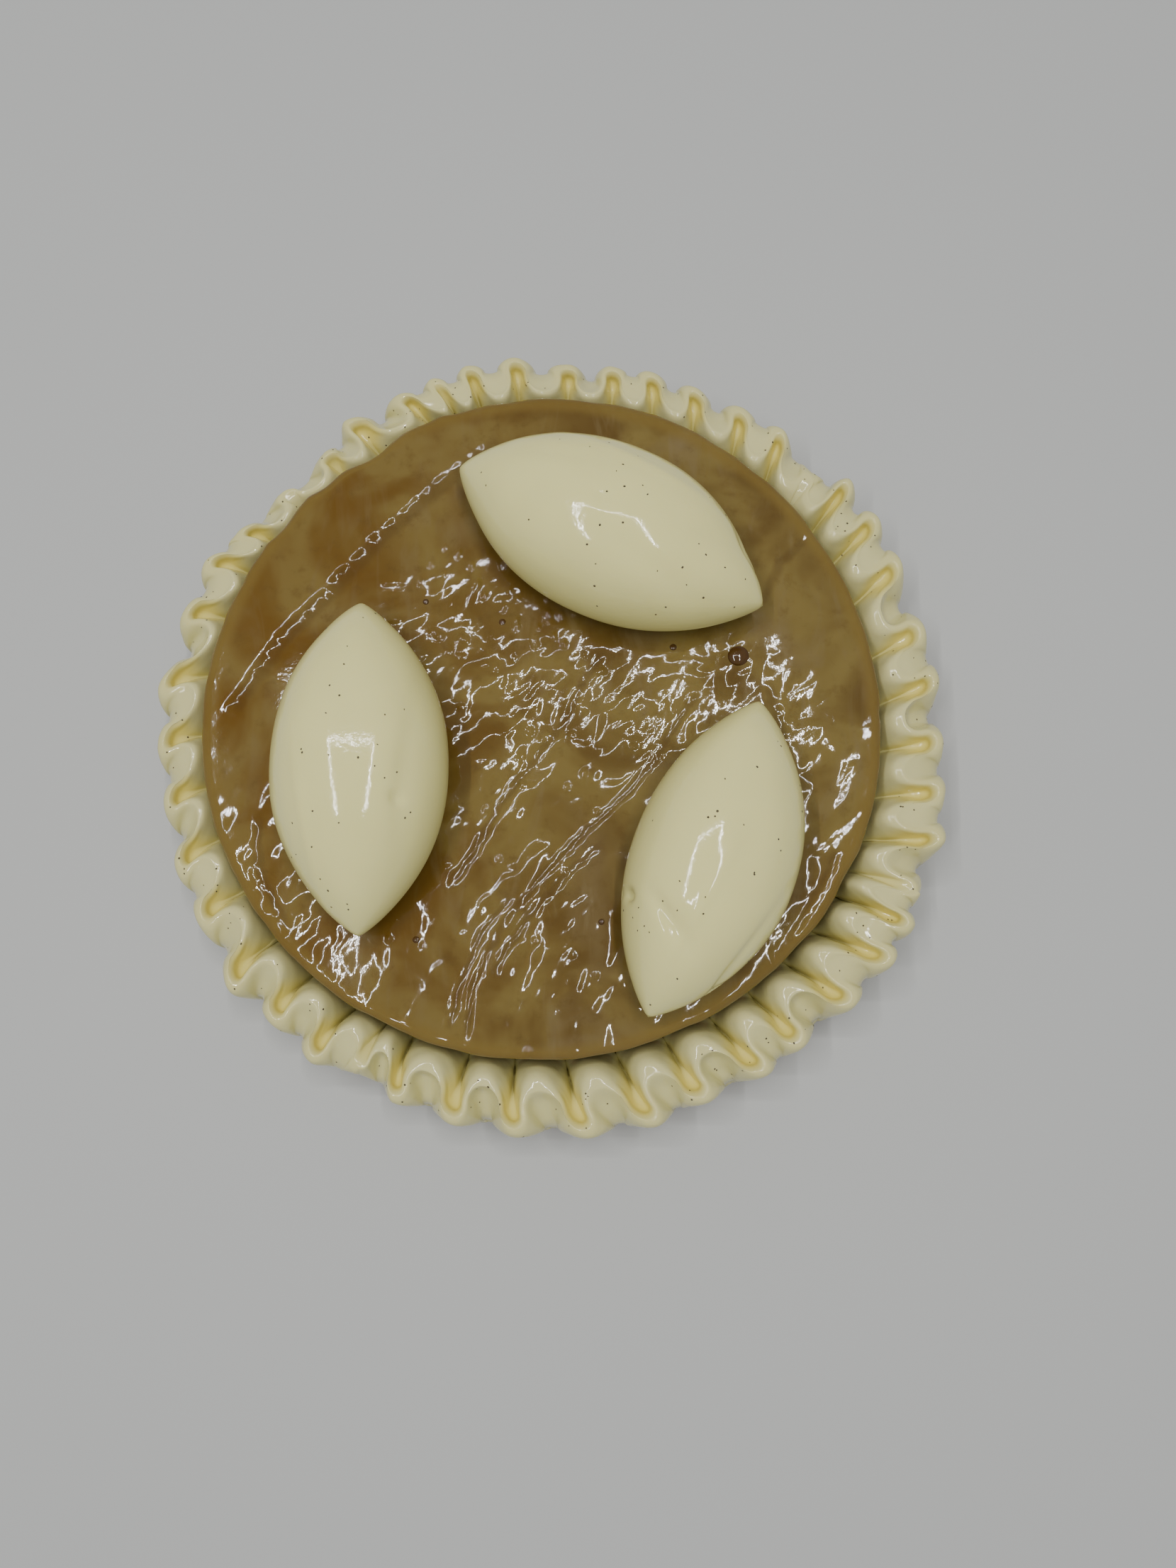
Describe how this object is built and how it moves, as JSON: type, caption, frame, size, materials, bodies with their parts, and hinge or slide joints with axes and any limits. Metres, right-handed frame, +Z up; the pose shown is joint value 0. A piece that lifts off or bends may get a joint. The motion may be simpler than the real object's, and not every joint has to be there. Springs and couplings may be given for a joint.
{
  "type": "tarte tatin",
  "caption": "Round caramelised fruit tart on a baked base, with a piped ruffled cream border and pointed quenelles of vanilla cream on top.",
  "frame": {"origin": "under the middle of the tart, on the surface that it rests on", "axes": "+Z up through the tart, -Y towards the front, +X to the right seen from the front"},
  "size_m": [0.2018, 0.2033, 0.0605],
  "materials": {
    "pastry": "matt, baked golden brown",
    "fruit": "glazed, wet, caramel brown",
    "cream": "smooth, soft satin, ivory"
  },
  "bodies": {
    "root": {"pastry_base": "pastry", "apple_disc": "fruit", "cream_ruffle": "cream", "quenelle_top": "cream", "quenelle_left": "cream", "quenelle_right": "cream"}
  },
  "joints": []
}
